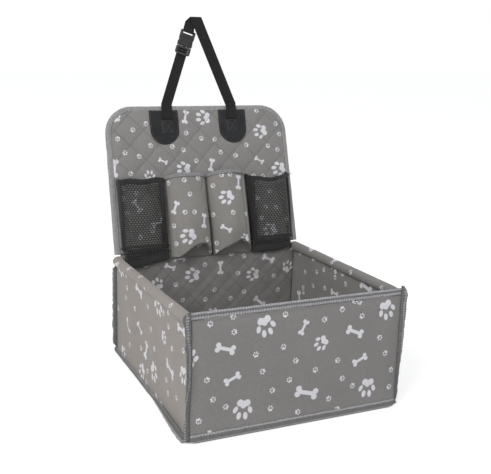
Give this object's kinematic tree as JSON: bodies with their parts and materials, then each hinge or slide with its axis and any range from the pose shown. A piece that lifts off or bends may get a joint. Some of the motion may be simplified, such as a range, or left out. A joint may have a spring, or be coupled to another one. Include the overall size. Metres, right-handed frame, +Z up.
{
  "type": "dog car seat box",
  "caption": "Open soft box for a dog on a car seat, with a folding quilted back panel, storage pockets and a headrest strap with a side-release buckle.",
  "frame": {"origin": "middle of the underside of the box, on the surface it rests on", "axes": "+X to the right of someone facing the front panel, +Y from the front panel to the back panel, +Z up"},
  "size_m": [0.4599, 0.5625, 0.7324],
  "materials": {
    "printed_cloth": "matt woven polyester, printed",
    "plain_cloth": "matt woven polyester",
    "grey_binding": "ribbed binding tape",
    "board": "stiffening board",
    "black_net": "knitted net",
    "black_binding": "soft binding tape",
    "black_leather": "grained artificial leather",
    "webbing": "woven webbing",
    "buckle": "moulded plastic",
    "rod": "extruded tube"
  },
  "bodies": {
    "box": {"base_cloth": "plain_cloth", "base_board": "board", "floor_pad": "printed_cloth", "front_panel_cloth": "printed_cloth", "front_panel_board": "board", "front_panel_lining": "printed_cloth", "front_top_binding": "grey_binding", "front_left_seam_binding": "grey_binding", "front_right_seam_binding": "grey_binding", "rear_left_seam_binding": "grey_binding", "rear_right_seam_binding": "grey_binding", "bottom_front_binding": "grey_binding", "bottom_rear_binding": "grey_binding", "bottom_left_binding": "grey_binding", "bottom_right_binding": "grey_binding", "left_side_wall": "printed_cloth", "right_side_wall": "printed_cloth", "left_rod_sleeve": "printed_cloth", "right_rod_sleeve": "printed_cloth", "back_wall_backing": "plain_cloth", "back_wall_quilt": "printed_cloth"},
    "back_panel": {"back_fold_strip": "plain_cloth", "back_panel_board": "board", "back_panel_backing": "plain_cloth", "back_panel_quilt": "printed_cloth", "back_panel_binding": "grey_binding", "left_bottle_pocket": "printed_cloth", "right_bottle_pocket": "printed_cloth", "left_bottle_binding": "grey_binding", "right_bottle_binding": "grey_binding", "left_mesh_net": "black_net", "right_mesh_net": "black_net", "left_mesh_top_binding": "black_binding", "right_mesh_top_binding": "black_binding", "left_mesh_hem": "black_binding", "right_mesh_hem": "black_binding", "left_strap_patch": "black_leather", "right_strap_patch": "black_leather", "left_strap_foot": "webbing", "right_strap_foot": "webbing"},
    "left_rod": {"left_support_rod": "rod"},
    "right_rod": {"right_support_rod": "rod"},
    "strap": {"strap_loop": "webbing", "buckle_socket": "buckle"},
    "left_leg": {"strap_left_leg": "webbing"},
    "plug": {"buckle_plug": "buckle"},
    "left_prong": {"buckle_left_prong": "buckle"},
    "right_prong": {"buckle_right_prong": "buckle"}
  },
  "joints": [
    {"name": "back_panel_fold", "type": "hinge", "parent": "box", "child": "back_panel", "pos_m": [0, 0.2235, 0.2275], "axis": [1, 0, 0], "range_deg": [-60, 96], "deforming": ["left_mesh_hem", "right_mesh_hem"]},
    {"name": "strap_swing", "type": "hinge", "parent": "back_panel", "child": "strap", "pos_m": [0, 0.31225, 0.5384], "axis": [1, 0, 0], "range_deg": [-100, 91]},
    {"name": "left_leg_swing", "type": "hinge", "parent": "back_panel", "child": "left_leg", "pos_m": [0, 0.31225, 0.5384], "axis": [1, 0, 0], "range_deg": [-100, 91]},
    {"name": "buckle_release", "type": "slide", "parent": "left_leg", "child": "plug", "axis": [-0.29, 0, -0.957], "range_m": [0, 0.026], "deforming": ["buckle_left_prong", "buckle_right_prong"]},
    {"name": "left_prong_press", "type": "hinge", "parent": "plug", "child": "left_prong", "pos_m": [-0.04759, 0.30965, 0.66988], "axis": [0, 1, 0], "range_deg": [0, 15], "stiffness_Nm_per_rad": 0.02},
    {"name": "right_prong_press", "type": "hinge", "parent": "plug", "child": "right_prong", "pos_m": [-0.02941, 0.30965, 0.66437], "axis": [0, 1, 0], "range_deg": [-15, 0]},
    {"name": "left_rod_slide", "type": "slide", "parent": "box", "child": "left_rod", "axis": [0, 0.9993, -0.0372], "range_m": [0, 0.4]},
    {"name": "right_rod_slide", "type": "slide", "parent": "box", "child": "right_rod", "axis": [0, 0.9993, -0.0372], "range_m": [0, 0.385]}
  ],
  "couplings": [
    {"joint": "left_leg_swing", "follows": "strap_swing", "ratio": 1},
    {"joint": "right_prong_press", "follows": "left_prong_press", "ratio": -1}
  ]
}
